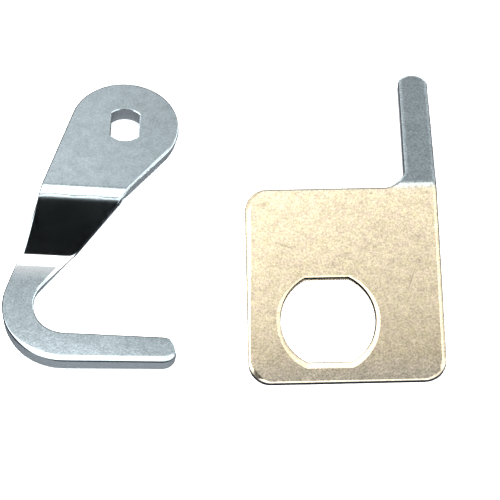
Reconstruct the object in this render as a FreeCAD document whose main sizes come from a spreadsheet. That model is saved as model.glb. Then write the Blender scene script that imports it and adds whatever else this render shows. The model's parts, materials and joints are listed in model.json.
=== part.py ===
import FreeCAD, Part
import math
import os

import Sketcher
from FreeCAD import Placement, Rotation, Vector

# A latch set of two zinc-plated steel stampings: a hook that turns on a lock's spindle, and a
# square plate that the lock's body passes through.  Nothing joins them until they are fitted, so
# they lie side by side, each as it comes to rest on a flat surface.
# Each stamping is modelled flat on its own XY plane: X across, Y up, Z through the sheet, with its
# origin on the axis of its double-D hole at the underside.  Millimetres and degrees throughout.

DIMENSIONS = {
    # hook: sheet and outline
    "hook_sheet": 3.2,            # sheet thickness
    "head_radius": 10.9,          # round head, concentric with the spindle hole
    "left_lean": 13.75,           # straight left edge, from the Y axis
    "right_lean": 36.8,           # straight right edge, from the Y axis
    "spindle_hole": 8.2,          # across the hole's round sides
    "spindle_flats": 5.8,         # across its flats, which run along Y
    # hook: the joggle that steps the arm down below the head
    "joggle_start": 15.6,         # hole axis to the start of the first bend
    "joggle_angle": 33.0,         # slope of the web between the two bends
    "web_length": 9.95,           # flat length of that web
    "first_bend_inside": 3.6,     # radius on the underside of the first bend
    "second_bend_inside": 4.0,    # radius on the top of the second bend
    # hook: crook and arm, measured from the end of the second bend
    "crook_across": 8.7,          # hole axis to the crook's centre, leftwards
    "crook_down": 8.55,           # end of the second bend to the crook's centre
    "arm_inner_slope": -0.2,      # upper edge of the arm, from the X axis
    "arm_outer_slope": 1.9,       # lower edge of the arm, from the X axis
    "arm_reach": 9.75,            # hole axis to the centre of the arm's round tip
    # plate
    "plate_sheet": 2.0,           # sheet thickness
    "plate_left": 15.2,           # lock hole's axis to the left edge
    "plate_right": 21.8,          # ... to the right edge
    "plate_bottom": 12.0,         # ... to the bottom edge
    "plate_top": 25.35,           # ... to the top edge
    "corner_radius": 4.2,         # three of the plate's corners
    "lock_hole": 18.0,            # across the hole's round sides
    "lock_flats": 16.0,           # across its flats, which run along X
    # plate: the finger bent down from its fourth corner
    "finger_width": 6.05,
    "finger_length": 28.3,        # end of the bend to the centre of the round tip
    "finger_lean": 3.8,           # outward lean in its own plane
    "finger_bend": 29.0,          # angle of the bend
    "finger_bend_inside": 1.0,    # radius on the underside of the bend
    "finger_fillet": 4.2,         # concave corner between the finger and the top edge
    # how the two lie on the surface
    "hook_turn": -0.1,            # turn about Z, anticlockwise
    "plate_turn": 1.3,
    "plate_across": 40.45,        # from the hook's hole to the plate's hole
    "plate_down": 41.4,
}
BEND_SECTIONS = 5                 # rectangles that carry the sheet round each bend
SETTLE_STEPS = 40                 # passes of the three-point resting solution

os.makedirs("parts", exist_ok=True)
doc = FreeCAD.newDocument("latch_set")
sheet = doc.addObject("Spreadsheet::Sheet", "Dimensions")
for row, (alias, size) in enumerate(DIMENSIONS.items(), start=1):
    sheet.set(f"A{row}", alias)
    sheet.set(f"B{row}", str(size))
    sheet.setAlias(f"B{row}", alias)
doc.recompute()

D = {alias: float(sheet.get(alias)) for alias in DIMENSIONS}


def cell(alias):
    """Expression text for one of the sheet's cells."""
    return f"Dimensions.{alias}"


def sin(angle):
    return math.sin(math.radians(angle))


def cos(angle):
    return math.cos(math.radians(angle))


def tan(angle):
    return math.tan(math.radians(angle))


# ---------------------------------------------------------------- sketches and features

def new_body(label):
    body = doc.addObject("PartDesign::Body", label)
    body.Label = label
    return body


def new_sketch(body, name, role="XY_Plane", offset=Placement()):
    """A sketch on one of the body's own origin planes, moved by an attachment offset."""
    sketch = body.newObject("Sketcher::SketchObject", name)
    plane = next(f for f in body.Origin.OriginFeatures if f.Role == role)
    sketch.AttachmentSupport = [(plane, "")]
    sketch.MapMode = "FlatFace"
    sketch.AttachmentOffset = offset
    return sketch


def bind(sketch, kind, places, size, name, expression):
    """A dimension held by the spreadsheet: its first value and its expression agree."""
    index = sketch.addConstraint(Sketcher.Constraint(kind, *places, size))
    sketch.renameConstraint(index, name)
    sketch.setExpression(f"Constraints.{name}", expression)


def bind_angle(sketch, edge, name, degrees, expression):
    bind(sketch, "Angle", (edge,), math.radians(degrees), name, expression)


def join(sketch, first, second, kind="Coincident"):
    """End of one edge to the start of the next, smooth where the kind is Tangent."""
    sketch.addConstraint(Sketcher.Constraint(kind, first, 2, second, 1))


def line(sketch, start, end):
    return sketch.addGeometry(Part.LineSegment(Vector(*start, 0), Vector(*end, 0)), False)


def arc(sketch, centre, radius, start, end):
    """Arc from one angle to another, anticlockwise, in degrees."""
    circle = Part.Circle(Vector(*centre, 0), Vector(0, 0, 1), radius)
    return sketch.addGeometry(Part.ArcOfCircle(circle, math.radians(start), math.radians(end)), False)


def pad(body, sketch, name, thickness):
    feature = body.newObject("PartDesign::Pad", name)
    feature.Profile = sketch
    feature.setExpression("Length", cell(thickness))
    doc.recompute()
    return feature


def loft(body, name, sections, ruled):
    feature = body.newObject("PartDesign::AdditiveLoft", name)
    feature.Profile = sections[0]
    feature.Sections = sections[1:]
    feature.Ruled = ruled
    doc.recompute()
    return feature


def double_d_hole(body, name, diameter, flats, along, thickness):
    """A round hole with two flats, cut through the whole sheet."""
    sketch = new_sketch(body, name)
    radius = D[diameter] / 2
    half_flat = D[flats] / 2
    angle = math.degrees(math.acos(half_flat / radius))
    first = 0 if along == "Y" else 90
    starts = [first + angle, first + 180 + angle]
    arcs = [arc(sketch, (0, 0), radius, a, a + 180 - 2 * angle) for a in starts]

    def rim(angle_on_rim):
        return radius * cos(angle_on_rim), radius * sin(angle_on_rim)

    ends = [(rim(a + 180 - 2 * angle), rim(a + 180)) for a in starts]
    sides = [line(sketch, start, end) for start, end in ends]
    for index in range(2):
        join(sketch, arcs[index], sides[index])
        join(sketch, sides[index], arcs[1 - index])
        sketch.addConstraint(Sketcher.Constraint("Coincident", arcs[index], 3, -1, 1))
        direction = "Vertical" if along == "Y" else "Horizontal"
        sketch.addConstraint(Sketcher.Constraint(direction, sides[index]))
    sketch.addConstraint(Sketcher.Constraint("Equal", arcs[0], arcs[1]))
    sketch.addConstraint(Sketcher.Constraint("Equal", sides[0], sides[1]))
    bind(sketch, "Radius", (arcs[0],), radius, "round", f"{cell(diameter)} / 2")
    kind = "DistanceX" if along == "Y" else "DistanceY"
    bind(sketch, kind, (sides[0], 1, -1, 1), half_flat, "flat", f"{cell(flats)} / 2")
    cut = body.newObject("PartDesign::Pocket", name + "_cut")
    cut.Profile = sketch
    cut.Reversed = True
    cut.setExpression("Length", cell(thickness))
    doc.recompute()
    return cut


def section(body, name, centre, turn, span, span_text, radii, radii_text):
    """A rectangle across the sheet on a plane that holds a bend's axis.

    centre is the bend axis's (y, z), turn its angle about X, span the left and right ends,
    and radii the rectangle's lower and upper sides, measured from the axis."""
    offset = Placement(Vector(0, centre[1], -centre[0]), Rotation(Vector(1, 0, 0), turn))
    sketch = new_sketch(body, name, "XZ_Plane", offset)
    (left, right), (low, high) = span, radii
    corners = [(left, low), (right, low), (right, high), (left, high)]
    edges = [line(sketch, corners[i], corners[(i + 1) % 4]) for i in range(4)]
    for index in range(4):
        join(sketch, edges[index], edges[(index + 1) % 4])
        direction = "Horizontal" if index % 2 == 0 else "Vertical"
        sketch.addConstraint(Sketcher.Constraint(direction, edges[index]))
    bind(sketch, "DistanceX", (-1, 1, edges[0], 1), left, "left", span_text[0])
    bind(sketch, "DistanceX", (-1, 1, edges[0], 2), right, "right", span_text[1])
    bind(sketch, "DistanceY", (-1, 1, edges[0], 1), low, "low", radii_text[0])
    bind(sketch, "DistanceY", (-1, 1, edges[2], 1), high, "high", radii_text[1])
    return sketch


# ---------------------------------------------------------------- latch hook
# The blank's two edges are straight lines, tangent to the round head and to the crook, and they
# keep straight along the sheet right through the joggle.

def hook_edges(along):
    """Ends of the blank on the line that is `along` the sheet from the hole, as (left, right)."""
    left = -(D["head_radius"] + along * sin(D["left_lean"])) / cos(D["left_lean"])
    right = (D["head_radius"] - along * sin(D["right_lean"])) / cos(D["right_lean"])
    return left, right


def hook_edges_text(along):
    left = f"-({cell('head_radius')} + {along} * sin({cell('left_lean')})) / cos({cell('left_lean')})"
    right = f"({cell('head_radius')} - {along} * sin({cell('right_lean')})) / cos({cell('right_lean')})"
    return left, right


def hook_layout():
    """Where the joggle's bends and the arm come, along the sheet and in space."""
    middle_first = D["first_bend_inside"] + D["hook_sheet"] / 2
    middle_second = D["second_bend_inside"] + D["hook_sheet"] / 2
    turn = math.radians(D["joggle_angle"])
    web_start = D["joggle_start"] + turn * middle_first
    web_end = web_start + D["web_length"]
    arm_start = web_end + turn * middle_second
    level = D["web_length"] * cos(D["joggle_angle"])
    return {
        "web_start": web_start,
        "web_end": web_end,
        "arm_start": arm_start,
        "arm_y": -D["joggle_start"] - level - (middle_first + middle_second) * sin(D["joggle_angle"]),
        "drop": D["web_length"] * sin(D["joggle_angle"])
        + (middle_first + middle_second) * (1 - cos(D["joggle_angle"])),
    }


def hook_head(body):
    sketch = new_sketch(body, "head_outline")
    radius = D["head_radius"]
    left, right = hook_edges(D["joggle_start"])
    left_touch = (-radius * cos(D["left_lean"]), radius * sin(D["left_lean"]))
    right_touch = (radius * cos(D["right_lean"]), -radius * sin(D["right_lean"]))
    fold_y = -D["joggle_start"]
    crown = arc(sketch, (0, 0), radius, -D["right_lean"], 180 - D["left_lean"])
    left_edge = line(sketch, left_touch, (left, fold_y))
    fold = line(sketch, (left, fold_y), (right, fold_y))
    right_edge = line(sketch, (right, fold_y), right_touch)
    join(sketch, crown, left_edge, "Tangent")
    join(sketch, left_edge, fold)
    join(sketch, fold, right_edge)
    join(sketch, right_edge, crown, "Tangent")
    sketch.addConstraint(Sketcher.Constraint("Coincident", crown, 3, -1, 1))
    sketch.addConstraint(Sketcher.Constraint("Horizontal", fold))
    bind(sketch, "Radius", (crown,), radius, "head", cell("head_radius"))
    bind(sketch, "DistanceY", (fold, 1, -1, 1), -fold_y, "fold", cell("joggle_start"))
    texts = hook_edges_text(cell("joggle_start"))
    bind(sketch, "DistanceX", (-1, 1, fold, 1), left, "left", texts[0])
    bind(sketch, "DistanceX", (-1, 1, fold, 2), right, "right", texts[1])
    pad(body, sketch, "head", "hook_sheet")


def hook_joggle(body, place):
    """First bend down, sloping web, second bend back to level."""
    steps = [index / (BEND_SECTIONS - 1) for index in range(BEND_SECTIONS)]
    angle = D["joggle_angle"]
    inside, thickness = D["first_bend_inside"], D["hook_sheet"]
    first = []
    for index, step in enumerate(steps):
        along = D["joggle_start"] + math.radians(angle * step) * (inside + thickness / 2)
        first.append(section(
            body, f"first_bend_{index}", (-D["joggle_start"], -inside), angle * step,
            hook_edges(along), hook_edges_text(along), (inside, inside + thickness),
            (cell("first_bend_inside"), f"{cell('first_bend_inside')} + {cell('hook_sheet')}")))
    inside = D["second_bend_inside"]
    centre = (place["arm_y"], -place["drop"] + thickness + inside)
    second = []
    for index, step in enumerate(steps):
        along = place["web_end"] + math.radians(angle * step) * (inside + thickness / 2)
        second.append(section(
            body, f"second_bend_{index}", centre, angle * (1 - step),
            hook_edges(along), hook_edges_text(along), (-inside - thickness, -inside),
            (f"-{cell('second_bend_inside')} - {cell('hook_sheet')}", f"-{cell('second_bend_inside')}")))
    loft(body, "first_bend", first, ruled=False)
    loft(body, "web", [first[-1], second[0]], ruled=True)
    loft(body, "second_bend", second, ruled=False)


def crook_and_tip(place):
    """Centres and radii of the crook and the arm's round tip, on the arm's own plane."""
    crook = Vector(-D["crook_across"], -D["crook_down"], 0)
    blank_crook = crook - Vector(0, place["arm_start"], 0)
    left_normal = Vector(-cos(D["left_lean"]), sin(D["left_lean"]), 0)
    right_normal = Vector(cos(D["right_lean"]), -sin(D["right_lean"]), 0)
    outer = D["head_radius"] - blank_crook.dot(left_normal)
    inner = blank_crook.dot(right_normal) - D["head_radius"]
    upper_normal = Vector(sin(D["arm_inner_slope"]), -cos(D["arm_inner_slope"]), 0)
    lower_normal = Vector(sin(D["arm_outer_slope"]), -cos(D["arm_outer_slope"]), 0)
    # the tip touches the arm's upper and lower edges: two distances fix its height and radius
    across = D["arm_reach"] - crook.x
    upper_slack = inner - across * upper_normal.x
    lower_slack = outer - across * lower_normal.x
    down = (upper_slack + lower_slack) / (upper_normal.y + lower_normal.y)
    tip = Vector(D["arm_reach"], crook.y + down, 0)
    radius = lower_slack - down * lower_normal.y
    return crook, outer, inner, tip, radius


def hook_arm(body, place):
    crook, outer, inner, tip, tip_radius = crook_and_tip(place)
    offset = Placement(Vector(0, place["arm_y"], -place["drop"]), Rotation())
    sketch = new_sketch(body, "arm_outline", "XY_Plane", offset)
    left, right = hook_edges(place["arm_start"])

    def rim(centre, radius, angle):
        return centre.x + radius * cos(angle), centre.y + radius * sin(angle)

    left_at, right_at = 180 - D["left_lean"], 180 - D["right_lean"]
    lower_at, upper_at = D["arm_outer_slope"] - 90, D["arm_inner_slope"] - 90
    left_edge = line(sketch, (left, 0), rim(crook, outer, left_at))
    back = arc(sketch, (crook.x, crook.y), outer, left_at, lower_at + 360)
    lower_edge = line(sketch, rim(crook, outer, lower_at), rim(tip, tip_radius, lower_at))
    nose = arc(sketch, (tip.x, tip.y), tip_radius, lower_at, upper_at + 180)
    upper_edge = line(sketch, rim(tip, tip_radius, upper_at + 180), rim(crook, inner, upper_at))
    throat = arc(sketch, (crook.x, crook.y), inner, right_at, upper_at + 360)
    right_edge = line(sketch, rim(crook, inner, right_at), (right, 0))
    fold = line(sketch, (right, 0), (left, 0))
    for first, second in ((left_edge, back), (back, lower_edge), (lower_edge, nose), (nose, upper_edge)):
        join(sketch, first, second, "Tangent")
    # the throat runs the other way round, so its ends swap
    sketch.addConstraint(Sketcher.Constraint("Tangent", upper_edge, 2, throat, 2))
    sketch.addConstraint(Sketcher.Constraint("Tangent", throat, 1, right_edge, 1))
    join(sketch, right_edge, fold)
    join(sketch, fold, left_edge)
    sketch.addConstraint(Sketcher.Constraint("Coincident", throat, 3, back, 3))
    texts = hook_edges_text(place["arm_start"])
    bind(sketch, "DistanceX", (-1, 1, fold, 2), left, "left", texts[0])
    bind(sketch, "DistanceX", (-1, 1, fold, 1), right, "right", texts[1])
    sketch.addConstraint(Sketcher.Constraint("PointOnObject", fold, 1, -1))
    sketch.addConstraint(Sketcher.Constraint("PointOnObject", fold, 2, -1))
    bind(sketch, "DistanceX", (back, 3, -1, 1), -crook.x, "crook_across", cell("crook_across"))
    bind(sketch, "DistanceY", (back, 3, -1, 1), -crook.y, "crook_down", cell("crook_down"))
    bind(sketch, "DistanceX", (-1, 1, nose, 3), tip.x, "reach", cell("arm_reach"))
    bind_angle(sketch, left_edge, "left_edge", -90 - D["left_lean"], f"-90 - {cell('left_lean')}")
    bind_angle(sketch, right_edge, "right_edge", 90 - D["right_lean"], f"90 - {cell('right_lean')}")
    bind_angle(sketch, lower_edge, "lower_edge", D["arm_outer_slope"], cell("arm_outer_slope"))
    bind_angle(sketch, upper_edge, "upper_edge", D["arm_inner_slope"] + 180,
               f"{cell('arm_inner_slope')} + 180")
    pad(body, sketch, "arm", "hook_sheet")


def make_hook():
    body = new_body("latch_hook")
    place = hook_layout()
    hook_head(body)
    hook_joggle(body, place)
    hook_arm(body, place)
    double_d_hole(body, "spindle_hole", "spindle_hole", "spindle_flats", "Y", "hook_sheet")
    return body


# ---------------------------------------------------------------- stop plate

def finger_hollow():
    """Centre of the fillet beside the finger, from the end of the bend, on the finger's plane."""
    fillet, lean = D["finger_fillet"], D["finger_lean"]
    bend = math.radians(D["finger_bend"]) * (D["finger_bend_inside"] + D["plate_sheet"] / 2)
    rise = fillet - bend
    across = D["plate_right"] - (D["finger_width"] + fillet) / cos(lean) + rise * tan(lean)
    return across, rise


def finger_hollow_text():
    fillet, lean = cell("finger_fillet"), cell("finger_lean")
    middle = f"({cell('finger_bend_inside')} + {cell('plate_sheet')} / 2)"
    rise = f"({fillet} - {cell('finger_bend')} * pi / 180 * {middle})"
    across = f"{cell('plate_right')} - ({cell('finger_width')} + {fillet}) / cos({lean})"
    return f"{across} + {rise} * tan({lean})", rise


def finger_left(along):
    """Left side of the finger's root, on its fillet, `along` the sheet from the top edge."""
    fillet = D["finger_fillet"]
    return finger_hollow()[0] + math.sqrt(fillet ** 2 - (fillet - along) ** 2)


def finger_left_text(along):
    fillet = cell("finger_fillet")
    return f"{finger_hollow_text()[0]} + sqrt({fillet}^2 - ({fillet} - {along})^2)"


def plate_blank(body):
    """The square plate up to the line where the finger starts to bend."""
    sketch = new_sketch(body, "plate_outline")
    left, right, bottom, top = -D["plate_left"], D["plate_right"], -D["plate_bottom"], D["plate_top"]
    radius = D["corner_radius"]
    upper = line(sketch, (right, top), (left + radius, top))
    top_left = arc(sketch, (left + radius, top - radius), radius, 90, 180)
    west = line(sketch, (left, top - radius), (left, bottom + radius))
    bottom_left = arc(sketch, (left + radius, bottom + radius), radius, 180, 270)
    lower = line(sketch, (left + radius, bottom), (right - radius, bottom))
    bottom_right = arc(sketch, (right - radius, bottom + radius), radius, 270, 360)
    east = line(sketch, (right, bottom + radius), (right, top))
    ring = [upper, top_left, west, bottom_left, lower, bottom_right, east]
    for first, second in zip(ring, ring[1:]):
        join(sketch, first, second, "Tangent")
    join(sketch, east, upper)
    for edge, direction in ((upper, "Horizontal"), (west, "Vertical"), (lower, "Horizontal"),
                            (east, "Vertical")):
        sketch.addConstraint(Sketcher.Constraint(direction, edge))
    for corner in (bottom_left, bottom_right):
        sketch.addConstraint(Sketcher.Constraint("Equal", top_left, corner))
    bind(sketch, "Radius", (top_left,), radius, "corner", cell("corner_radius"))
    bind(sketch, "DistanceX", (west, 1, -1, 1), -left, "left", cell("plate_left"))
    bind(sketch, "DistanceX", (-1, 1, east, 1), right, "right", cell("plate_right"))
    bind(sketch, "DistanceY", (lower, 1, -1, 1), -bottom, "bottom", cell("plate_bottom"))
    bind(sketch, "DistanceY", (-1, 1, upper, 1), top, "top", cell("plate_top"))
    pad(body, sketch, "plate", "plate_sheet")


def finger(body):
    """The finger: bent down about the plate's top edge, then straight to its round tip."""
    thickness, inside, angle = D["plate_sheet"], D["finger_bend_inside"], D["finger_bend"]
    sections = []
    for index in range(BEND_SECTIONS):
        turned = angle * index / (BEND_SECTIONS - 1)
        along = math.radians(turned) * (inside + thickness / 2)
        sections.append(section(
            body, f"finger_bend_{index}", (D["plate_top"], -inside), -turned,
            (finger_left(along), D["plate_right"]), (finger_left_text(along), cell("plate_right")),
            (inside, inside + thickness),
            (cell("finger_bend_inside"), f"{cell('finger_bend_inside')} + {cell('plate_sheet')}")))
    loft(body, "finger_root", sections, ruled=False)

    offset = Placement(
        Vector(0, D["plate_top"] + inside * sin(angle), -inside * (1 - cos(angle))),
        Rotation(Vector(1, 0, 0), -angle))
    sketch = new_sketch(body, "finger_outline", "XY_Plane", offset)
    right, width, lean = D["plate_right"], D["finger_width"], D["finger_lean"]
    fillet = D["finger_fillet"]
    across, rise = finger_hollow()
    fold_left = across + math.sqrt(fillet ** 2 - rise ** 2)
    fold_angle = -math.degrees(math.asin(rise / fillet))
    outward = (cos(lean), -sin(lean))
    right_end = (right + D["finger_length"] * sin(lean), D["finger_length"] * cos(lean))
    tip = (right_end[0] - outward[0] * width / 2, right_end[1] - outward[1] * width / 2)
    left_end = (right_end[0] - outward[0] * width, right_end[1] - outward[1] * width)
    left_start = (across + outward[0] * fillet, rise + outward[1] * fillet)
    east = line(sketch, (right, 0), right_end)
    nose = arc(sketch, tip, width / 2, -lean, 180 - lean)
    west = line(sketch, left_end, left_start)
    hollow = arc(sketch, (across, rise), fillet, fold_angle, -lean)
    fold = line(sketch, (fold_left, 0), (right, 0))
    join(sketch, east, nose, "Tangent")
    join(sketch, nose, west, "Tangent")
    # the hollow runs the other way round, so its ends swap
    sketch.addConstraint(Sketcher.Constraint("Tangent", west, 2, hollow, 2))
    sketch.addConstraint(Sketcher.Constraint("Coincident", hollow, 1, fold, 1))
    join(sketch, fold, east)
    sketch.addConstraint(Sketcher.Constraint("PointOnObject", fold, 1, -1))
    sketch.addConstraint(Sketcher.Constraint("PointOnObject", fold, 2, -1))
    bind(sketch, "DistanceX", (-1, 1, fold, 2), right, "right", cell("plate_right"))
    bind(sketch, "Radius", (nose,), width / 2, "tip", f"{cell('finger_width')} / 2")
    bind(sketch, "Radius", (hollow,), fillet, "hollow", cell("finger_fillet"))
    bind(sketch, "DistanceY", (-1, 1, hollow, 3), rise, "rise", finger_hollow_text()[1])
    bind(sketch, "Distance", (east,), D["finger_length"], "length", cell("finger_length"))
    bind_angle(sketch, east, "lean", 90 - lean, f"90 - {cell('finger_lean')}")
    sketch.addConstraint(Sketcher.Constraint("Parallel", east, west))
    pad(body, sketch, "finger", "plate_sheet")


def make_plate():
    body = new_body("stop_plate")
    plate_blank(body)
    finger(body)
    double_d_hole(body, "lock_hole", "lock_hole", "lock_flats", "X", "plate_sheet")
    return body


# ---------------------------------------------------------------- how they rest

def hook_rest():
    """The hook leans on three points of its underside: head rim, heel of the joggle, arm tip."""
    place = hook_layout()
    crook, outer, inner, tip, tip_radius = crook_and_tip(place)
    arm_origin = Vector(0, place["arm_y"], -place["drop"])
    heel = arm_origin + Vector(hook_edges(place["arm_start"])[1], 0, 0)
    tip_centre = arm_origin + tip
    up = Vector(-0.1, -0.1, 1)
    for _ in range(SETTLE_STEPS):
        uphill = Vector(up.x, up.y, 0).normalize()
        head_point = uphill * -D["head_radius"]
        tip_point = tip_centre - uphill * tip_radius
        up = (tip_point - heel).cross(head_point - heel).normalize()
        if up.z < 0:
            up = up * -1
    turn = Rotation(Vector(0, 0, 1), D["hook_turn"]).multiply(Rotation(up, Vector(0, 0, 1)))
    return Placement(Vector(0, 0, -up.dot(heel)), turn)


def plate_rest():
    """The plate leans on its bottom edge and on the end of its finger."""
    angle, inside = D["finger_bend"], D["finger_bend_inside"]
    reach = D["finger_length"] * cos(D["finger_lean"]) + D["finger_width"] / 2
    end_y = D["plate_top"] + inside * sin(angle) + reach * cos(angle)
    end_z = -inside * (1 - cos(angle)) - reach * sin(angle)
    tilt = math.degrees(math.atan2(-end_z, end_y + D["plate_bottom"]))
    turn = Rotation(Vector(0, 0, 1), D["plate_turn"]).multiply(Rotation(Vector(1, 0, 0), tilt))
    place = Vector(D["plate_across"], -D["plate_down"], D["plate_bottom"] * sin(tilt))
    return Placement(place, turn)


hook = make_hook()
plate = make_plate()
hook.Placement = hook_rest()
plate.Placement = plate_rest()
doc.recompute()

# each piece rests on the surface, and the set's origin is the middle of its bounding box there
boxes = [body.Shape.optimalBoundingBox(False) for body in (hook, plate)]
middle_x = (min(box.XMin for box in boxes) + max(box.XMax for box in boxes)) / 2
middle_y = (min(box.YMin for box in boxes) + max(box.YMax for box in boxes)) / 2
for body, box in zip((hook, plate), boxes):
    shift = Vector(-middle_x, -middle_y, -box.ZMin)
    body.Placement = Placement(body.Placement.Base + shift, body.Placement.Rotation)
doc.recompute()

for item in doc.Objects:
    if "Invalid" in item.State or "Error" in item.State:
        raise RuntimeError(f"{item.Label} did not recompute: {item.State}")
for body in (hook, plate):
    shape = body.Shape
    if shape.isNull() or not shape.isValid() or len(shape.Solids) != 1:
        raise RuntimeError(f"{body.Label} is not one valid solid")
    shape.exportStep(f"parts/{body.Label}.step")
    print(body.Label, "volume", round(shape.Volume, 1), shape.optimalBoundingBox(False))
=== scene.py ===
import json
import math

import bpy
import numpy as np
from mathutils import Matrix, Vector
from mathutils.geometry import delaunay_2d_cdt


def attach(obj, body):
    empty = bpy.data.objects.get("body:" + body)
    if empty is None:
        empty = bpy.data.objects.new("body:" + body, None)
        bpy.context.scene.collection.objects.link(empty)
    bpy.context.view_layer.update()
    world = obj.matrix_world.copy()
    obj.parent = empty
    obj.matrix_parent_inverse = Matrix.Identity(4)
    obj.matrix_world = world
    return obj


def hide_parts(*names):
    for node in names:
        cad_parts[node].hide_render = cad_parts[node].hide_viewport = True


# Two zinc-plated stampings on a white table.  Each is made flat, as its blank, with the edges that
# a punch leaves (rolled over on top, torn on the wall, a small burr break below), then folded along
# its bend lines and laid where the frame says.  Millimetres and degrees up to the last step.

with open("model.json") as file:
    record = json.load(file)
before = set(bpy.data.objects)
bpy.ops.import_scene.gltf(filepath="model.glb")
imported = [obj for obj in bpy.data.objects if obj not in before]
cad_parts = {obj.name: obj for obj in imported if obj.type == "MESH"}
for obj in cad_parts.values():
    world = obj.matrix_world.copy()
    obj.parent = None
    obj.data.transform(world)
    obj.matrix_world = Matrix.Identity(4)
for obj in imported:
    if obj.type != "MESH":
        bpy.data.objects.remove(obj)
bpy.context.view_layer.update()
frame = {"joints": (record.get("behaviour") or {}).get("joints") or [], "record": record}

MM = 0.001
SHEET_STEP = 1.3        # spacing of the points inside a flat stretch
EDGE_STEP = 0.5         # spacing along an outline
ARC_STEP = 5            # degrees between the points of an arc, at most
BEND_STEP = 0.08        # spacing through a bend
BEND_ACROSS = 0.4       # spacing along a bend's line
BEND_MARGIN = 0.05      # how far the close rows of a bend go beyond its ends
ALONG_BEND = 0.05       # an edge that slopes less than this runs along the bends
NET_MARGIN = 0.27       # least distance from the inner points to the rims
NET_PART = 2000         # inner points measured at one time
SAME_SPOT = 1e-9        # the triangulation joins points that are nearer than this
ROLL_ROWS = 12          # rows round a rolled-over edge
BREAK_ROWS = 4          # rows round the small lower edge
WALL_ROWS = 4           # rows up the torn wall
BREAK = 0.10            # size of the lower edge's rounding
LEAST_WALL = 0.05       # least height of the torn wall
CORNER_STEP = 0.02      # size of the sharp turns at both sides of a worn edge
UPWARD = 0.3            # a normal that rises more than this belongs to the upper face

# finishes: the bright face, near-black painted shade (dark reflections and contact shadow) on the
# outer part of a worn edge and in the band below it, the torn wall
FACE, PAINTED_SHADE, TORN = 0.0, 1.0, 2.0


# ---------------------------------------------------------------- outlines

def turn_vector(degrees):
    """The unit vector at this angle from X."""
    return np.array((math.cos(math.radians(degrees)), math.sin(math.radians(degrees))))


def eased(share):
    """Smooth step from 0 to 1."""
    share = np.clip(share, 0, 1)
    return share * share * (3 - 2 * share)


def rolled(width, first=22, last=45, band=0.02, under=0.0, painted_shade_share=0.0):
    """A worn edge this wide, sloping from first to last degrees, and the wall below it.

    band is the height of the wall's band of near-black painted shade, for dark reflections and
    contact shadow, under how far the torn part leans inwards at its foot, and the last argument the
    outer share of the worn edge painted with the same shade."""
    return np.array((width, first, last, band, under, painted_shade_share))


def blended(rolls, share):
    """The worn edge part of the way from the first of two to the second."""
    return rolls[0] + (rolls[1] - rolls[0]) * eased(share)


class Outline:
    """A closed outline, walked with the sheet on its left, in straight and round stretches.

    Each point has the normal that leaves the sheet and the worn edge there, as rolled() gives it.
    Stretches that cross a bend have closer points inside it."""

    def __init__(self, bends=()):
        self.points, self.normals, self.rolls = [], [], []
        self.bends = bends

    def add(self, point, normal, roll):
        self.points.append(point)
        self.normals.append(normal)
        self.rolls.append(roll)

    def straight(self, start, end, rolls):
        """From start up to end, which the next stretch begins with; rolls are the edges at both."""
        start, end = np.array(start), np.array(end)
        length = np.linalg.norm(end - start)
        ahead = (end - start) / length
        cuts = [0, 1]
        if abs(ahead[1]) > ALONG_BEND:
            levels = [level for bend in self.bends for level in bend]
            shares = [(level - start[1]) / (end[1] - start[1]) for level in levels]
            cuts += [share for share in shares if 0 < share < 1]
        cuts.sort()
        for low, high in zip(cuts, cuts[1:]):
            middle = start[1] + (end[1] - start[1]) * (low + high) / 2
            bent = any(min(bend) < middle < max(bend) for bend in self.bends)
            step = 2 * BEND_STEP if bent else EDGE_STEP
            count = max(1, math.ceil(length * (high - low) / step))
            for index in range(count):
                share = low + (high - low) * index / count
                roll = blended(rolls, share)
                self.add(start + ahead * length * share, np.array((ahead[1], -ahead[0])), roll)

    def round(self, centre, radius, start, end, rolls, step=EDGE_STEP):
        """An arc between two directions; one that turns clockwise is a hollow of the sheet."""
        side = 1 if end > start else -1
        length = math.radians(abs(end - start)) * radius
        count = max(math.ceil(length / step), math.ceil(abs(end - start) / ARC_STEP))
        for index in range(count):
            share = index / count
            out = turn_vector(start + (end - start) * share)
            roll = blended(rolls, share)
            self.add(np.array(centre) + out * radius, out * side, roll)

    def arrays(self):
        return np.array(self.points), np.array(self.normals), np.array(self.rolls)


def double_d(diameter, flats, corner, along, roll_at):
    """A round hole with two flats along X or Y; its corners have a small radius.

    roll_at gives the worn edge for a direction, in degrees, from the hole's centre."""
    radius, half = diameter / 2, flats / 2
    reach = math.sqrt((radius - corner) ** 2 - (half - corner) ** 2)
    corner_at = math.degrees(math.atan2(half - corner, reach))
    outline = Outline()
    turn = 0 if along == "X" else 90
    for side in (180, 0):
        # one flat and the round side after it, walked clockwise
        spin = turn + side
        ends = [turn_vector(spin) * x + turn_vector(spin + 90) * half for x in (-reach, reach)]
        centre = turn_vector(spin) * reach + turn_vector(spin + 90) * (half - corner)
        next_corner = turn_vector(spin) * reach - turn_vector(spin + 90) * (half - corner)
        flat_roll, next_flat_roll = roll_at(spin + 90), roll_at(spin - 90)
        corner_roll, next_corner_roll = roll_at(spin + corner_at), roll_at(spin - corner_at)
        side_roll = roll_at(spin)
        outline.straight(ends[0], ends[1], (flat_roll, flat_roll))
        outline.round(centre, corner, spin + 90, spin + corner_at, (flat_roll, corner_roll))
        outline.round((0, 0), radius, spin + corner_at, spin, (corner_roll, side_roll))
        outline.round((0, 0), radius, spin, spin - corner_at, (side_roll, next_corner_roll))
        outline.round(next_corner, corner, spin - corner_at, spin - 90,
                      (next_corner_roll, next_flat_roll))
    return outline


# ---------------------------------------------------------------- folding

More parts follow.
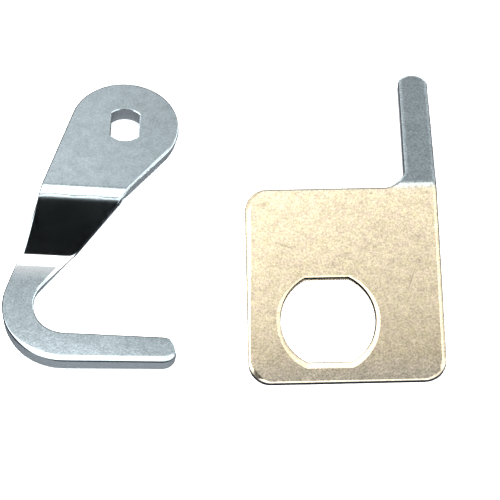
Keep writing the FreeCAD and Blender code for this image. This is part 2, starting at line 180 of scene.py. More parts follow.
class Fold:
    """Carries a point of the blank to the bent sheet.

    direction is +1 or -1: the way along Y in which the bends follow one another from the flat
    that holds the hole.  Each bend is (start along the sheet, degrees downwards, radius of the
    sheet's middle)."""

    def __init__(self, thickness, direction, bends):
        self.thickness, self.direction, self.bends = thickness, direction, bends

    def spans(self):
        """Each bend's two ends, as Y on the blank."""
        ends = [(at, at + math.radians(abs(angle)) * radius) for at, angle, radius in self.bends]
        return [(self.direction * first, self.direction * last) for first, last in ends]

    def place(self, flat, height, normal):
        """Positions and normals of blank points (x, y) at a height above the sheet's underside."""
        along = flat[:, 1] * self.direction
        lift = height - self.thickness / 2
        level = np.zeros(len(flat))
        reach = np.minimum(along, self.bends[0][0])
        slope = np.zeros(len(flat))
        stretch = np.ones(len(flat))
        for index, (at, angle, radius) in enumerate(self.bends):
            side = math.copysign(1, angle)
            full = math.radians(abs(angle))
            turned = np.clip((along - at) / radius, 0, full)
            after = slope + side * turned
            reach = reach + side * radius * (np.sin(after) - np.sin(slope))
            level = level + side * radius * (np.cos(after) - np.cos(slope))
            inside = (turned > 0) & (turned < full)
            stretch = np.where(inside, 1 + side * lift / radius, stretch)
            slope = after
            end = at + full * radius
            following = self.bends[index + 1][0] if index + 1 < len(self.bends) else math.inf
            run = np.clip(along, end, following) - end
            reach = reach + run * np.cos(slope)
            level = level - run * np.sin(slope)
        position = np.column_stack((
            flat[:, 0],
            self.direction * (reach + lift * np.sin(slope)),
            self.thickness / 2 + level + lift * np.cos(slope)))
        ahead = normal[:, 1] * self.direction / stretch
        turned_normal = np.column_stack((
            normal[:, 0],
            self.direction * (ahead * np.cos(slope) + normal[:, 2] * np.sin(slope)),
            normal[:, 2] * np.cos(slope) - ahead * np.sin(slope)))
        return position, turned_normal / np.linalg.norm(turned_normal, axis=1, keepdims=True)


# ---------------------------------------------------------------- stampings

def edge_rows(outline, thickness):
    """Rows of points from the underside round the edge to the top.

    Each row is its points on the blank, moved inwards from the outline, with their heights,
    normals and finishes."""
    points, normals, rolls = outline.arrays()
    widths, first, last, painted_shade_heights, unders, painted_shade_shares = rolls.T
    first, last = np.radians(first), np.radians(last)
    spans = np.sin(last) - np.sin(first)
    depths = widths * (np.cos(first) - np.cos(last)) / spans
    ones = np.ones(len(points))
    rows = []

    def row(inset, height, outward, upward, finish):
        """One row, whose normals lean outward and upward in these shares."""
        size = np.hypot(outward, upward)
        flat = points - normals * np.reshape(inset, (-1, 1))
        normal = np.column_stack((normals * np.reshape(outward / size, (-1, 1)), upward / size))
        rows.append((flat, height * ones, normal, finish * ones))

    for index in range(BREAK_ROWS + 1):
        angle = math.pi / 2 * index / BREAK_ROWS
        row(BREAK * (1 - math.sin(angle)) + unders, BREAK * (1 - math.cos(angle)),
            ones * math.sin(angle), -ones * math.cos(angle), TORN if index else FACE)
    wall_top = thickness - depths - CORNER_STEP
    painted_shade_foot = np.maximum(wall_top - painted_shade_heights, BREAK + LEAST_WALL)
    wall_lean = unders / (painted_shade_foot - BREAK)
    for index in range(1, WALL_ROWS + 1):
        share = index / WALL_ROWS
        row(unders * (1 - share), BREAK + (painted_shade_foot - BREAK) * share, ones, -wall_lean, TORN)
    # the band of near-black painted shade at the top of the wall
    row(0, painted_shade_foot + CORNER_STEP / 2, ones, ones * 0, PAINTED_SHADE)
    row(0, wall_top, ones, ones * 0, PAINTED_SHADE)
    # the outer rows of the worn edge take the painted shade by its share
    for index in range(ROLL_ROWS + 1):
        slope = last + (first - last) * index / ROLL_ROWS
        row(widths * (np.sin(last) - np.sin(slope)) / spans,
            thickness - widths * (np.cos(first) - np.cos(slope)) / spans,
            np.sin(slope), np.cos(slope), np.clip(painted_shade_shares * ROLL_ROWS + 1 - index, FACE, PAINTED_SHADE))
    row(widths + CORNER_STEP, thickness * ones, ones * 0, ones, FACE)
    return rows


def inside_loop(points, loop):
    """Which points are inside a closed loop, by counting crossings."""
    result = np.zeros(len(points), bool)
    following = np.roll(loop, -1, axis=0)
    for (x0, y0), (x1, y1) in zip(loop, following):
        if y0 == y1:
            continue
        crosses = (y0 > points[:, 1]) != (y1 > points[:, 1])
        result ^= crosses & (points[:, 0] < x0 + (points[:, 1] - y0) * (x1 - x0) / (y1 - y0))
    return result


def in_sheet(points, loops):
    """Which points are inside the first loop and outside the others, the holes."""
    result = inside_loop(points, loops[0])
    for loop in loops[1:]:
        result &= ~inside_loop(points, loop)
    return result


def sheet_points(loops, spans):
    """Points inside the sheet: a sparse net on the flats and a dense one through the bends."""
    low, high = loops[0].min(axis=0), loops[0].max(axis=0)
    bends = sorted(tuple(sorted(span)) for span in spans)
    levels, y = [], low[1]
    while y < high[1]:
        bent = any(first - BEND_MARGIN < y < last + BEND_MARGIN for first, last in bends)
        step = BEND_STEP if bent else SHEET_STEP
        ahead = [first for first, last in bends if y < first < y + step]
        y = ahead[0] if ahead else y + step
        levels.append((y, bent))
    net = []
    for index, (y, bent) in enumerate(levels):
        spacing = BEND_ACROSS if bent else SHEET_STEP
        shift = spacing / 2 * (index % 2)
        net += [(x, y) for x in np.arange(low[0] + shift, high[0], spacing)]
    net = np.array(net)
    keep = in_sheet(net, loops)
    for loop in loops:
        for start in range(0, len(net), NET_PART):
            part = slice(start, start + NET_PART)
            distance = np.linalg.norm(net[part, None] - loop[None], axis=2).min(axis=1)
            keep[part] &= distance > NET_MARGIN
    return net[keep]


def cover(rims, spans, count):
    """One side of the sheet: its inner points, numbered from count, and its triangles.

    Each rim is the number of its first point and its points; the outer one comes first."""
    # in single precision, as the triangulation has them
    loops = [flat.astype(np.float32).astype(float) for _, flat in rims]
    net = sheet_points(loops, spans)
    numbers = [start + spot for start, flat in rims for spot in range(len(flat))]
    numbers += range(count, count + len(net))
    edges, first = [], 0
    for loop in loops:
        size = len(loop)
        edges += [(first + spot, first + (spot + 1) % size) for spot in range(size)]
        first += size
    spots = [Vector(spot) for spot in np.vstack(loops + [net])]
    points, _, triangles, sources = delaunay_2d_cdt(spots, edges, [], 0, SAME_SPOT)[:4]
    middles = np.array([np.mean([points[corner] for corner in triangle], axis=0)
                        for triangle in triangles])
    faces = [[numbers[sources[corner][0]] for corner in triangle]
             for triangle, kept in zip(triangles, in_sheet(middles, loops)) if kept]
    return net, faces


def blank_mesh(outlines, fold):
    """The flat sheet: the points on the blank, their heights, normals and finishes, the faces."""
    flats, heights, normals, finishes, faces = [], [], [], [], []
    unders, tops = [], []
    count = 0
    for outline in outlines:
        rows = edge_rows(outline, fold.thickness)
        size = len(rows[0][0])
        unders.append((count, rows[0][0]))
        for index, (flat, height, normal, finish) in enumerate(rows):
            flats.append(flat)
            heights.append(height)
            normals.append(normal)
            finishes.append(finish)
            if index:
                low, high = count - size, count
                for spot in range(size):
                    following = (spot + 1) % size
                    faces.append((low + spot, low + following, high + following, high + spot))
            count += size
        tops.append((count - size, rows[-1][0]))
    for rims, up, level in ((unders, -1, 0.0), (tops, 1, fold.thickness)):
        net, triangles = cover(rims, fold.spans(), count)
        faces += [corners[::up] for corners in triangles]
        flats.append(net)
        heights.append(np.full(len(net), level))
        normals.append(np.tile((0.0, 0.0, up), (len(net), 1)))
        finishes.append(np.full(len(net), FACE))
        count += len(net)
    return (np.vstack(flats), np.concatenate(heights), np.vstack(normals),
            np.concatenate(finishes), faces)


def stamping(name, outlines, fold, relief, place, material):
    """A folded sheet with one outer outline and its holes, as one smooth closed mesh.

    relief gives the depth and slopes of the marks in its upper face, or is None."""
    flat, height, normal, finish, faces = blank_mesh(outlines, fold)
    if relief:
        sink, slope = relief(flat)
        upper = normal[:, 2] > UPWARD
        height = height + np.where(upper, sink, 0)
        normal[:, :2] -= np.where(upper[:, None], slope, 0) * normal[:, 2:]
    position, direction = fold.place(flat, height, normal)
    turn = np.array(place.to_3x3())
    position = (position @ turn.T) * MM + np.array(place.translation)
    direction = direction @ turn.T

    mesh = bpy.data.meshes.new(name)
    mesh.from_pydata(position.tolist(), [], faces)
    finishes = mesh.attributes.new("finish", "FLOAT", "POINT")
    finishes.data.foreach_set("value", finish.astype(np.float32))
    blank = mesh.attributes.new("blank", "FLOAT_VECTOR", "POINT")
    blank.data.foreach_set("vector", np.column_stack((flat, height)).astype(np.float32).ravel())
    mesh.polygons.foreach_set("use_smooth", [True] * len(mesh.polygons))
    mesh.normals_split_custom_set_from_vertices(direction.tolist())
    mesh.materials.append(material)
    mesh.validate()
    piece = bpy.data.objects.new(name, mesh)
    bpy.context.scene.collection.objects.link(piece)
    return piece


# ---------------------------------------------------------------- node helpers

def new_material(name):
    """An empty material and its node tree."""
    material = bpy.data.materials.new(name)
    material.use_nodes = True
    material.node_tree.nodes.clear()
    return material, material.node_tree


def add(tree, kind, settings=None, **inputs):
    """A node with its settings and inputs; an input is a value or another node's output.

    Inputs go by name, or by number where their names don't tell them apart: i0 is the first."""
    node = tree.nodes.new(kind)
    for key, value in (settings or {}).items():
        setattr(node, key, value)
    for key, value in inputs.items():
        numbered = key[0] == "i" and key[1:].isdigit()
        socket = node.inputs[int(key[1:]) if numbered else key.replace("_", " ")]
        if isinstance(value, bpy.types.NodeSocket):
            tree.links.new(value, socket)
        else:
            socket.default_value = value
    return node


def math_node(tree, operation, first, second=0.0, third=0.0, clamp=False):
    """The output of a math node; third counts only where the operation takes three values."""
    settings = {"operation": operation, "use_clamp": clamp}
    return add(tree, "ShaderNodeMath", settings, i0=first, i1=second, i2=third).outputs[0]


def fade(tree, value, start, end, full=1.0, kind="SMOOTHSTEP"):
    """0 where the value is at start, rising to full where it is at end."""
    return add(tree, "ShaderNodeMapRange", {"interpolation_type": kind}, Value=value,
               From_Min=start, From_Max=end, To_Max=full).outputs["Result"]


def noise(tree, place, scale, detail=2.0):
    return add(tree, "ShaderNodeTexNoise", None, Vector=place, Scale=scale, Detail=detail,
               Roughness=0.5).outputs["Fac"]


def ramp(tree, value, stops):
    """Colours by value; each stop is a position and a colour or a grey level."""
    node = add(tree, "ShaderNodeValToRGB", None, Fac=value)
    node.color_ramp.interpolation = "LINEAR"
    elements = node.color_ramp.elements
    while len(elements) < len(stops):
        elements.new(0.5)
    for element, (position, level) in zip(elements, stops):
        colour = level if isinstance(level, tuple) else (level, level, level)
        element.position = position
        element.color = (*colour, 1)
    return node.outputs["Color"]


def blend_colours(tree, share, first, second, mode="MIX"):
    """The first colour with this share of the second, mixed or multiplied."""
    settings = {"data_type": "RGBA", "blend_type": mode}
    return add(tree, "ShaderNodeMix", settings, i0=share, i6=first, i7=second).outputs[2]


# ---------------------------------------------------------------- materials

ZINC_BLUE = (0.66, 0.775, 0.825, 1)
ZINC_STRAW = (0.97, 0.84, 0.59)
ZINC_ROSE = (0.97, 0.81, 0.60)
ZINC_PALE = (0.98, 0.85, 0.565)
ZINC_WORN = (0.95, 0.89, 0.80, 1)
# bluish white of the painted highlight on the hook's lower bend
ZINC_BEND_HIGHLIGHT = (0.93, 0.97, 0.99, 1)
# near-black painted shade for dark reflections and contact shadow on edges and walls
PAINTED_SHADE_TONE = (0.012, 0.013, 0.016)
MARK_TONE = (0.42, 0.36, 0.26, 1)
GRAIN_SCALE, HUE_SCALE, CLOUD_SCALE, BROAD_SCALE = 2600, 800, 500, 110
BUMP_HEIGHT = 0.000004            # metres
FILM_NONE, FILM_FULL = 26.4, 24.4            # where the warm film ends, along the blank
PALER_NONE, PALER_FULL = -6.0, -12.0         # where it pales towards the foot
PALER_SHARE = 0.45
GRAIN_DULL, BROAD_DULL = 0.07, 0.06          # how much the two noises vary the roughness


def zinc(name, straw, roughness, torn_colour, bend_highlight=None, marks=()):
    """Bright zinc plate: a fine mottle, near-black painted shade on the worn edges' outer parts and
    the wall bands below them, matt torn walls and, where straw is set, a warm film.

    The fifth argument is the two ends of a painted highlight on the face, each as the distances
    along the sheet where it starts and where it is full.  Each mark is a spot's centre on the
    blank, half length and width, lean and strength."""
    material, tree = new_material(name)
    place = add(tree, "ShaderNodeTexCoord").outputs["Object"]
    finish = add(tree, "ShaderNodeAttribute", {"attribute_name": "finish"}).outputs["Fac"]
    blank = add(tree, "ShaderNodeAttribute", {"attribute_name": "blank"}).outputs["Vector"]
    along = add(tree, "ShaderNodeSeparateXYZ", None, Vector=blank).outputs["Y"]
    grain = noise(tree, place, GRAIN_SCALE)
    cloud = noise(tree, place, CLOUD_SCALE, 3.0)
    broad = noise(tree, place, BROAD_SCALE)

    face = ZINC_BLUE
    if straw:
        patches = noise(tree, place, HUE_SCALE, 3.0)
        hue = ramp(tree, patches, [(0.36, ZINC_ROSE), (0.52, ZINC_STRAW), (0.68, ZINC_PALE)])
        paler = fade(tree, along, PALER_NONE, PALER_FULL, PALER_SHARE, "LINEAR")
        hue = blend_colours(tree, paler, hue, ZINC_WORN)
        face = blend_colours(tree, fade(tree, along, FILM_NONE, FILM_FULL), ZINC_BLUE, hue)
    shade = ramp(tree, grain, [(0.25, 0.52 if straw else 0.70), (0.75, 1.0)])
    face = blend_colours(tree, 1.0, face, shade, "MULTIPLY")
    stain = ramp(tree, cloud, [(0.3, 0.84), (0.62, 1.0)])
    face = blend_colours(tree, 1.0, face, stain, "MULTIPLY")

    # the painted highlight: a brighter bluish-white patch between the two ends
    if bend_highlight:
        ends = [fade(tree, along, -none, -full) for none, full in bend_highlight]
        highlight_share = math_node(tree, "MULTIPLY", ends[0], ends[1])
        face = blend_colours(tree, highlight_share, face, ZINC_BEND_HIGHLIGHT)

    for x, y, long, wide, lean, strength in marks:
        # the great third scale leaves the height on the blank out of the distance
        spot = add(tree, "ShaderNodeMapping", {"vector_type": "TEXTURE"}, Vector=blank,
                   Location=(x, y, 0), Rotation=(0, 0, math.radians(lean)),
                   Scale=(long, wide, 1000)).outputs["Vector"]
        away = add(tree, "ShaderNodeVectorMath", {"operation": "LENGTH"}, i0=spot).outputs["Value"]
        face = blend_colours(tree, fade(tree, away, 1.0, 0.2, strength), face, MARK_TONE)

    least = roughness - (GRAIN_DULL + BROAD_DULL) / 2
    gloss = math_node(tree, "MULTIPLY_ADD", grain, GRAIN_DULL, least)
    gloss = math_node(tree, "MULTIPLY_ADD", broad, BROAD_DULL, gloss)
    height = math_node(tree, "ADD", grain, math_node(tree, "MULTIPLY", cloud, 1.5))
    bump = add(tree, "ShaderNodeBump", None, Strength=1.0, Distance=BUMP_HEIGHT, Height=height)
    bright = add(tree, "ShaderNodeBsdfPrincipled", None, Base_Color=face, Metallic=1.0,
                 Roughness=gloss, Normal=bump.outputs["Normal"])

    # the wall: a near-black band of painted shade, for dark reflections and contact shadow, then
    # the matt torn part
    level = math_node(tree, "MULTIPLY", finish, 1 / TORN)
    wall_tone = ramp(tree, level, [(0.52, PAINTED_SHADE_TONE), (0.9, torn_colour)])
    wall_grain = ramp(tree, grain, [(0.3, 0.82), (0.7, 1.0)])
    wall_colour = blend_colours(tree, 1.0, wall_tone, wall_grain, "MULTIPLY")
    wall = add(tree, "ShaderNodeBsdfPrincipled", None, Base_Color=wall_colour, Metallic=0.0,
               Roughness=0.5, Normal=bump.outputs["Normal"], Specular_IOR_Level=0.0)
    on_wall = math_node(tree, "MULTIPLY", finish, 1 / PAINTED_SHADE, clamp=True)
    shader = add(tree, "ShaderNodeMixShader", None, i0=on_wall, i1=bright.outputs[0],
                 i2=wall.outputs[0])
    output = add(tree, "ShaderNodeOutputMaterial")
    tree.links.new(shader.outputs[0], output.inputs["Surface"])
    return material


# ---------------------------------------------------------------- latch hook

HOOK_SHEET = 3.2
HEAD_RADIUS = 10.9
LEFT_LEAN, RIGHT_LEAN = 13.75, 36.8
JOGGLE_START, JOGGLE_ANGLE, WEB_LENGTH = 15.6, 33.0, 9.95
FIRST_MIDDLE = 3.6 + HOOK_SHEET / 2       # radius of the sheet's middle in the first bend
SECOND_MIDDLE = 4.0 + HOOK_SHEET / 2      # and in the second
WEB_START = JOGGLE_START + math.radians(JOGGLE_ANGLE) * FIRST_MIDDLE
WEB_END = WEB_START + WEB_LENGTH
ARM_START = WEB_END + math.radians(JOGGLE_ANGLE) * SECOND_MIDDLE
CROOK = np.array((-8.7, -8.55 - ARM_START))          # the crook's centre on the blank
ARM_INNER_SLOPE, ARM_OUTER_SLOPE, ARM_REACH = -0.2, 1.9, 9.75
# the lower bend starts sharply and opens out, with the same two tangents as one round bend
SHARP_START, SHARP_ANGLE, SHARP_MIDDLE, OPEN_MIDDLE = WEB_END + 0.30, 17.0, 2.6, 10.9
OPEN_START = SHARP_START + math.radians(SHARP_ANGLE) * SHARP_MIDDLE
OPEN_ANGLE = JOGGLE_ANGLE - SHARP_ANGLE
OPEN_END = OPEN_START + math.radians(OPEN_ANGLE) * OPEN_MIDDLE
HOOK_TURN = -0.1        # degrees about the hole's axis
HOOK_HOLE = (8.2, 5.8, 0.35)              # diameter, across the flats, radius of its corners
HOOK_ROUGHNESS, HOOK_TORN = 0.11, (0.137, 0.156, 0.172)


def hook_outline(spans):
    # each side touches the head and the crook, which gives the crook's outer and inner radius
    left, right = turn_vector(180 - LEFT_LEAN), turn_vector(-RIGHT_LEAN)
    outer = HEAD_RADIUS - CROOK @ left
    inner = CROOK @ right - HEAD_RADIUS
    # the tip is one arc that touches both edges of the arm
    lower, upper = turn_vector(ARM_OUTER_SLOPE - 90), turn_vector(ARM_INNER_SLOPE - 90)
    across = ARM_REACH - CROOK[0]
    drop = (inner + outer - across * (upper[0] + lower[0])) / (upper[1] + lower[1])
    tip = np.array((ARM_REACH, CROOK[1] + drop))
    tip_radius = outer - across * lower[0] - drop * lower[1]

    throat_end = CROOK - right * inner
    crown_start, crown_end = right * HEAD_RADIUS, left * HEAD_RADIUS
    back = CROOK + left * outer
    # the bands and the dark shares set here are near-black painted shade: dark reflections along
    # the edges, and the web's side dark all over
    small, thin = rolled(0.25, 4, 22, painted_shade_share=0.7), rolled(0.35, 42, 66)
    wide_crook, wide = rolled(1.1, 1, 15, 0.08), rolled(1.05, 1, 15, 0.45)
    head_side, throat = rolled(0.35, 42, 66, 0.02, 0.45), rolled(0.3, 42, 66, 0.1, 0.7)
    web_side = rolled(0.05, band=HOOK_SHEET, painted_shade_share=1.2)

    outline = Outline(spans)

    def worn_side(start, end, first_roll, changes, last_roll):
        """A straight side whose worn edge changes at distances along the sheet from the hole."""
        here, roll = start, first_roll
        for along, next_roll in changes:
            spot = start + (end - start) * (-along - start[1]) / (end[1] - start[1])
            outline.straight(here, spot, (roll, next_roll))
            here, roll = spot, next_roll
        outline.straight(here, end, (roll, last_roll))

    # head, left side, crook, arm, throat and right side, split where the worn edge changes
    outline.round((0, 0), HEAD_RADIUS, -RIGHT_LEAN, 60, (head_side, small))
    outline.round((0, 0), HEAD_RADIUS, 60, 180 - LEFT_LEAN, (small, small))
    left_changes = [(WEB_START, small), (WEB_END - 0.5, rolled(0.5)), (ARM_START + 3, small)]
    worn_side(crown_end, back, small, left_changes, small)
    outline.round(CROOK, outer, 180 - LEFT_LEAN, 205, (small, small))
    outline.round(CROOK, outer, 205, 250, (small, wide_crook))
    outline.round(CROOK, outer, 250, ARM_OUTER_SLOPE + 270, (wide_crook, wide))
    outline.straight(CROOK + lower * outer, tip + lower * tip_radius, (wide, wide))
    outline.round(tip, tip_radius, ARM_OUTER_SLOPE - 90, 20, (wide, thin))
    outline.round(tip, tip_radius, 20, ARM_INNER_SLOPE + 90, (thin, small))
    outline.straight(tip - upper * tip_radius, CROOK + upper * inner, (small, small))
    outline.round(CROOK, inner, ARM_INNER_SLOPE + 270, 180 - RIGHT_LEAN, (small, throat))
    right_changes = [(ARM_START + 2.2, rolled(0.5, 30, 62, 0.15, 0.8)),
                     (WEB_END + 1.0, rolled(0.45, 30, 62, 0.15, 0.7)),
                     (WEB_END - 0.6, web_side), (WEB_START + 0.5, web_side),
                     (WEB_START - 1.5, rolled(0.3, 42, 66, 0.02, 0.6))]
    worn_side(throat_end, crown_start, throat, right_changes, head_side)
    return outline


def hook_relief(flat):
    """The marks that the bending tool left: a wavy groove across each bend."""
    half_width, upper_depth, lower_depth = 0.10, 0.02, 0.014

    def sink(x, y):
        upper = -(WEB_START - 1.02) + 0.08 * np.sin(x * 0.9) + 0.03 * np.sin(x * 3.1 + 1)
        upper = upper - 0.5 * eased((x - 0.5) / 4)
        lower = -(WEB_END + 0.9) + 0.04 * np.sin(x * 1.3)
        return (-upper_depth * np.exp(-((y - upper) / half_width) ** 2)
                - lower_depth * np.exp(-((y - lower) / half_width) ** 2))

    x, y = flat[:, 0], flat[:, 1]
    nudge = 0.01
    slope_x = (sink(x + nudge, y) - sink(x - nudge, y)) / (2 * nudge)
    slope_y = (sink(x, y + nudge) - sink(x, y - nudge)) / (2 * nudge)
    return sink(x, y), np.column_stack((slope_x, slope_y))


def mount_named(name):
    """The record's mount with this name."""
    return next(mount for mount in frame["record"]["mounts"] if mount["name"] == name)


def sheet_place(mount, up, turn, thickness):
    """Lays a blank with its hole on the mount, the sheet's middle at the mount's position."""
    return Matrix.Translation(Vector(mount["pos_m"]) - up * thickness / 2 * MM) @ turn


def make_hook():
    joint = next(joint for joint in frame["joints"] if joint["name"] == "hook_turn")
    up = Vector(joint["axis"]).normalized()
    turn = Vector((0, 0, 1)).rotation_difference(up).to_matrix().to_4x4()
    turn = turn @ Matrix.Rotation(math.radians(HOOK_TURN), 4, "Z")
    place = sheet_place(mount_named("hook_spindle_hole"), up, turn, HOOK_SHEET)
    fold = Fold(HOOK_SHEET, -1, [(JOGGLE_START, JOGGLE_ANGLE, FIRST_MIDDLE),
                                 (SHARP_START, -SHARP_ANGLE, SHARP_MIDDLE),
                                 (OPEN_START, -OPEN_ANGLE, OPEN_MIDDLE)])
    hole = double_d(*HOOK_HOLE, "Y", lambda degrees: rolled(0.2))
    # a painted highlight: the face turns bluish white from the lower bend's start to a little
    # beyond its end
    bend_highlight = ((OPEN_END + 3.2, OPEN_END - 0.8), (WEB_END, WEB_END + 0.5))
    material = zinc("zinc_blue_plate", False, HOOK_ROUGHNESS, HOOK_TORN, bend_highlight)
    piece = stamping("hook_stamping", [hook_outline(fold.spans()), hole], fold, hook_relief, place,
                     material)
    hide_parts("latch_hook")
    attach(piece, "hook")


# ---------------------------------------------------------------- lock plate

PLATE_SHEET = 2.0
PLATE_LEFT, PLATE_RIGHT, PLATE_BOTTOM, PLATE_TOP = -15.2, 21.8, -12.0, 25.35
CORNER, FILLET = 4.2, 4.2                 # radii of the corners and of the hollow at the finger
FINGER_WIDTH, FINGER_LENGTH, FINGER_LEAN, FINGER_BEND = 6.05, 28.3, 3.8, 29.0
FINGER_MIDDLE = 1.0 + PLATE_SHEET / 2     # radius of the sheet's middle in the finger's bend
LOCK_HOLE = (18.0, 16.0, 0.5)             # diameter, across the flats, radius of its corners
PLATE_ROUGHNESS, PLATE_TORN = 0.19, (0.25, 0.26, 0.28)


def plate_outline(spans):
    # the finger leans from the end of its bend on
    bend_end = PLATE_TOP + math.radians(FINGER_BEND) * FINGER_MIDDLE
    along, outward = turn_vector(90 - FINGER_LEAN), turn_vector(-FINGER_LEAN)
    root = np.array((PLATE_RIGHT, bend_end))
    right_end = root + along * FINGER_LENGTH
    tip = right_end - outward * FINGER_WIDTH / 2
    # the hollow touches the plate's top and the finger's inner edge
    rise = PLATE_TOP + FILLET - bend_end
    hollow_x = PLATE_RIGHT - (FINGER_WIDTH + FILLET) / math.cos(math.radians(FINGER_LEAN))
    hollow_x += rise * math.tan(math.radians(FINGER_LEAN))
    hollow = np.array((hollow_x, PLATE_TOP + FILLET))

    # the bands and the dark shares set here are near-black painted shade: the contact shadow along
    # the foot and dark reflections round the rims and corners
    rim, finger_rim = rolled(0.9, painted_shade_share=0.1), rolled(0.8, 8, 40, painted_shade_share=0.2)
    foot = rolled(0.5, 22, 50, PLATE_SHEET, painted_shade_share=0.5)
    low_corner = rolled(1.1, 1, 15, PLATE_SHEET, painted_shade_share=0.2)
    left_rim, low_rim = rolled(1.1, painted_shade_share=0.08), rolled(0.5, painted_shade_share=0.25)
    top_rim = rolled(0.35, 20, 45)

    # right side, finger, the hollow beside it, top, left side and bottom
    outline = Outline(spans)
    outline.straight((PLATE_RIGHT, PLATE_BOTTOM + CORNER), (PLATE_RIGHT, PLATE_TOP - 1),
                     (rim, finger_rim))
    outline.straight((PLATE_RIGHT, PLATE_TOP - 1), root, (finger_rim, finger_rim))
    outline.straight(root, right_end, (finger_rim, finger_rim))
    outline.round(tip, FINGER_WIDTH / 2, -FINGER_LEAN, 180 - FINGER_LEAN, (finger_rim, finger_rim))
    outline.straight(right_end - outward * FINGER_WIDTH, hollow + outward * FILLET,
                     (finger_rim, finger_rim))
    outline.round(hollow, FILLET, -FINGER_LEAN, -90, (finger_rim, top_rim), 2 * BEND_STEP)
    outline.straight((hollow_x, PLATE_TOP), (PLATE_LEFT + CORNER, PLATE_TOP), (top_rim, top_rim))
    outline.round((PLATE_LEFT + CORNER, PLATE_TOP - CORNER), CORNER, 90, 180, (top_rim, left_rim))
    outline.straight((PLATE_LEFT, PLATE_TOP - CORNER), (PLATE_LEFT, PLATE_BOTTOM + CORNER),
                     (left_rim, low_rim))
    left_corner = (PLATE_LEFT + CORNER, PLATE_BOTTOM + CORNER)
    outline.round(left_corner, CORNER, 180, 220, (low_rim, low_corner))
    outline.round(left_corner, CORNER, 220, 270, (low_corner, foot))
    outline.straight((PLATE_LEFT + CORNER, PLATE_BOTTOM), (PLATE_RIGHT - CORNER, PLATE_BOTTOM),
                     (foot, foot))
    right_corner = (PLATE_RIGHT - CORNER, PLATE_BOTTOM + CORNER)
    outline.round(right_corner, CORNER, 270, 320, (foot, low_corner))
    outline.round(right_corner, CORNER, 320, 360, (low_corner, rim))
    return outline


# smudges, scratches and specks of the face: centre, half length and width, lean, strength
PLATE_MARKS = [(-11.7, 22.2, 1.5, 0.8, 20, 0.6), (-9.4, 18.4, 1.5, 0.9, 60, 0.4),
               (-7.8, 14.2, 2.8, 0.25, -21, 0.8), (16.0, 7.3, 3.4, 0.22, 70, 0.7),
               (9.1, 24.2, 0.5, 0.35, 0, 0.9), (19.7, 24.2, 0.5, 0.35, 0, 0.9)]


def lock_hole_roll(degrees):
    """The lock hole's edge: narrow and steep at the top flat, wide and shallow at the bottom; its
    wall is near-black painted shade above the small lower edge.
    """
    lower = eased((1 - math.sin(math.radians(degrees))) / 2)
    return rolled(0.3 + 0.9 * lower, 22 - 16 * lower, 50 - 28 * lower, PLATE_SHEET, painted_shade_share=0.08)


def make_plate():
    mount = mount_named("plate_lock_hole")
    up = Vector(mount["axis"]).normalized()
    across = Vector((-up.y, up.x, 0)).normalized()
    turn = Matrix((across, up.cross(across), up)).transposed().to_4x4()
    place = sheet_place(mount, up, turn, PLATE_SHEET)
    fold = Fold(PLATE_SHEET, 1, [(PLATE_TOP, FINGER_BEND, FINGER_MIDDLE)])
    hole = double_d(*LOCK_HOLE, "X", lock_hole_roll)
    material = zinc("zinc_straw_plate", True, PLATE_ROUGHNESS, PLATE_TORN, marks=PLATE_MARKS)
    piece = stamping("plate_stamping", [plate_outline(fold.spans()), hole], fold, None, place,
                     material)
    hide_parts("stop_plate")
    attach(piece, "plate")


# ---------------------------------------------------------------- table, light and camera

VIEW_TILT = 25.3        # degrees of the view from straight above
VIEW_AIM = Vector((4.875, -5.956, 0))
VIEW_DISTANCE = 217.36
LENS = 79.2             # on a sensor of 36 mm
LAMP_ABOVE = 3.0        # degrees of the lamp above the camera
LAMP_ASIDE = 1.0        # and its distance to the right of the middle
TABLE_HALF = 2.5        # metres
TABLE_WHITE = (0.93, 0.93, 0.93, 1)
TENT_STRENGTH = 3.2


def table():
    material, tree = new_material("white_table")
    shader = add(tree, "ShaderNodeBsdfDiffuse", None, Color=TABLE_WHITE)
    output = add(tree, "ShaderNodeOutputMaterial")
    tree.links.new(shader.outputs[0], output.inputs["Surface"])
    mesh = bpy.data.meshes.new("table")
    corners = [(x * TABLE_HALF, y * TABLE_HALF, 0) for x, y in ((-1, -1), (1, -1), (1, 1), (-1, 1))]
    mesh.from_pydata(corners, [], [(0, 1, 2, 3)])
    mesh.materials.append(material)
    top = bpy.data.objects.new("table", mesh)
    bpy.context.scene.collection.objects.link(top)


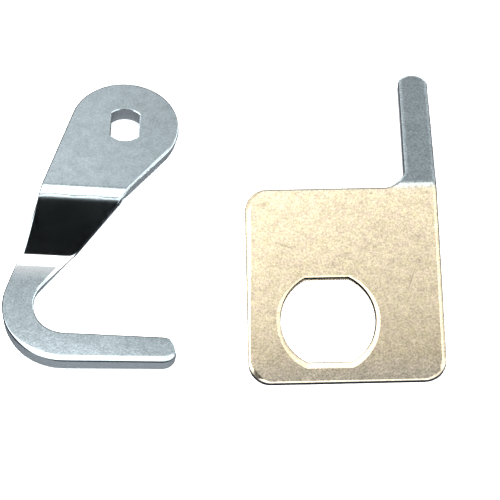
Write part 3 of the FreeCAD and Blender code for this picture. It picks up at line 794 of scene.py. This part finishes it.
def studio():
    """A light tent: brightest a little behind straight up, dim low at the back, with a dark gap
    between overhead and front."""
    world = bpy.data.worlds.new("light_tent")
    bpy.context.scene.world = world
    world.use_nodes = True
    tree = world.node_tree
    tree.nodes.clear()
    way = add(tree, "ShaderNodeTexCoord").outputs["Generated"]
    split = add(tree, "ShaderNodeSeparateXYZ", None, Vector=way)
    south = math_node(tree, "MULTIPLY", split.outputs["Y"], -1.0)
    lean = math_node(tree, "ARCTAN2", south, split.outputs["Z"])
    share = math_node(tree, "MULTIPLY_ADD", lean, 1 / math.pi, 0.5)

    def band(profile):
        """Brightness by the angle from straight up, in degrees, positive to the front."""
        stops = [((degrees + 90) / 180, level / 2) for degrees, level in profile]
        return ramp(tree, share, stops)

    tent = band([(-90, 0.45), (-66, 0.49), (-58, 0.51), (-52, 0.53), (-48, 0.60), (-45, 0.69),
                 (-41.5, 0.58), (-39.8, 0.41), (-39, 0.40), (-38, 0.48), (-37, 0.48),
                 (-36.1, 0.55), (-35.5, 0.70), (-34, 1.6), (-31, 2.0), (-8, 2.0), (-4, 1.7),
                 (-1, 1.11), (0.6, 1.02), (2.6, 0.92), (5.2, 1.42), (6.3, 0.95), (7.2, 0.22),
                 (8.4, 0.20), (14, 0.04), (19, 0.02), (22.2, 0.008), (24, 0), (31, 0),
                 (34, 0.3), (38, 1.5), (45, 2.0)])
    sides = band([(-90, 0.6), (-40, 1.0), (-25, 1.1), (-12, 2.0), (90, 2.0)])
    across = math_node(tree, "ABSOLUTE", split.outputs["X"])
    colour = blend_colours(tree, fade(tree, across, 0.26, 0.50), tent, sides)
    # the left of the tent is brighter than the right
    sideways = math_node(tree, "ADD", split.outputs["X"], 0.5)
    level = ramp(tree, sideways, [(0.42, 0.92), (0.51, 0.88), (0.58, 0.70), (0.67, 0.61)])
    strength = math_node(tree, "MULTIPLY", level, TENT_STRENGTH)
    background = add(tree, "ShaderNodeBackground", None, Color=colour, Strength=strength)
    output = add(tree, "ShaderNodeOutputWorld")
    tree.links.new(background.outputs[0], output.inputs["Surface"])
    # the tent is for the reflections; the lamps light what isn't metal
    world.cycles_visibility.diffuse = False


def table_lights():
    """A small lamp just above the camera and an even light from overhead, neither reflected."""
    tilt = math.radians(VIEW_TILT - LAMP_ABOVE)
    spot = Vector((LAMP_ASIDE, VIEW_AIM.y - VIEW_DISTANCE * math.sin(tilt),
                   VIEW_DISTANCE * math.cos(tilt)))
    near = bpy.data.lights.new("lamp_by_camera", "POINT")
    near.energy = 3.3
    near.shadow_soft_size = 0.004
    above = bpy.data.lights.new("light_overhead", "SUN")
    above.energy = 3.6
    above.angle = math.radians(2)
    for lamp in (near, above):
        light = bpy.data.objects.new(lamp.name, lamp)
        light.location = spot * MM
        light.visible_glossy = False
        light.visible_camera = False
        bpy.context.scene.collection.objects.link(light)


def camera():
    """The view from the front, 25 degrees from straight above."""
    tilt = math.radians(VIEW_TILT)
    back = Vector((0, -math.sin(tilt), math.cos(tilt)))
    data = bpy.data.cameras.new("camera")
    data.lens = LENS
    data.sensor_width = 36.0
    data.clip_start = 0.01
    eye = bpy.data.objects.new("camera", data)
    eye.location = (VIEW_AIM + back * VIEW_DISTANCE) * MM
    eye.rotation_euler = (tilt, 0, 0)
    bpy.context.scene.collection.objects.link(eye)
    bpy.context.scene.camera = eye
    bpy.context.scene.view_settings.view_transform = "Standard"


make_hook()
make_plate()
table()
studio()
table_lights()
camera()
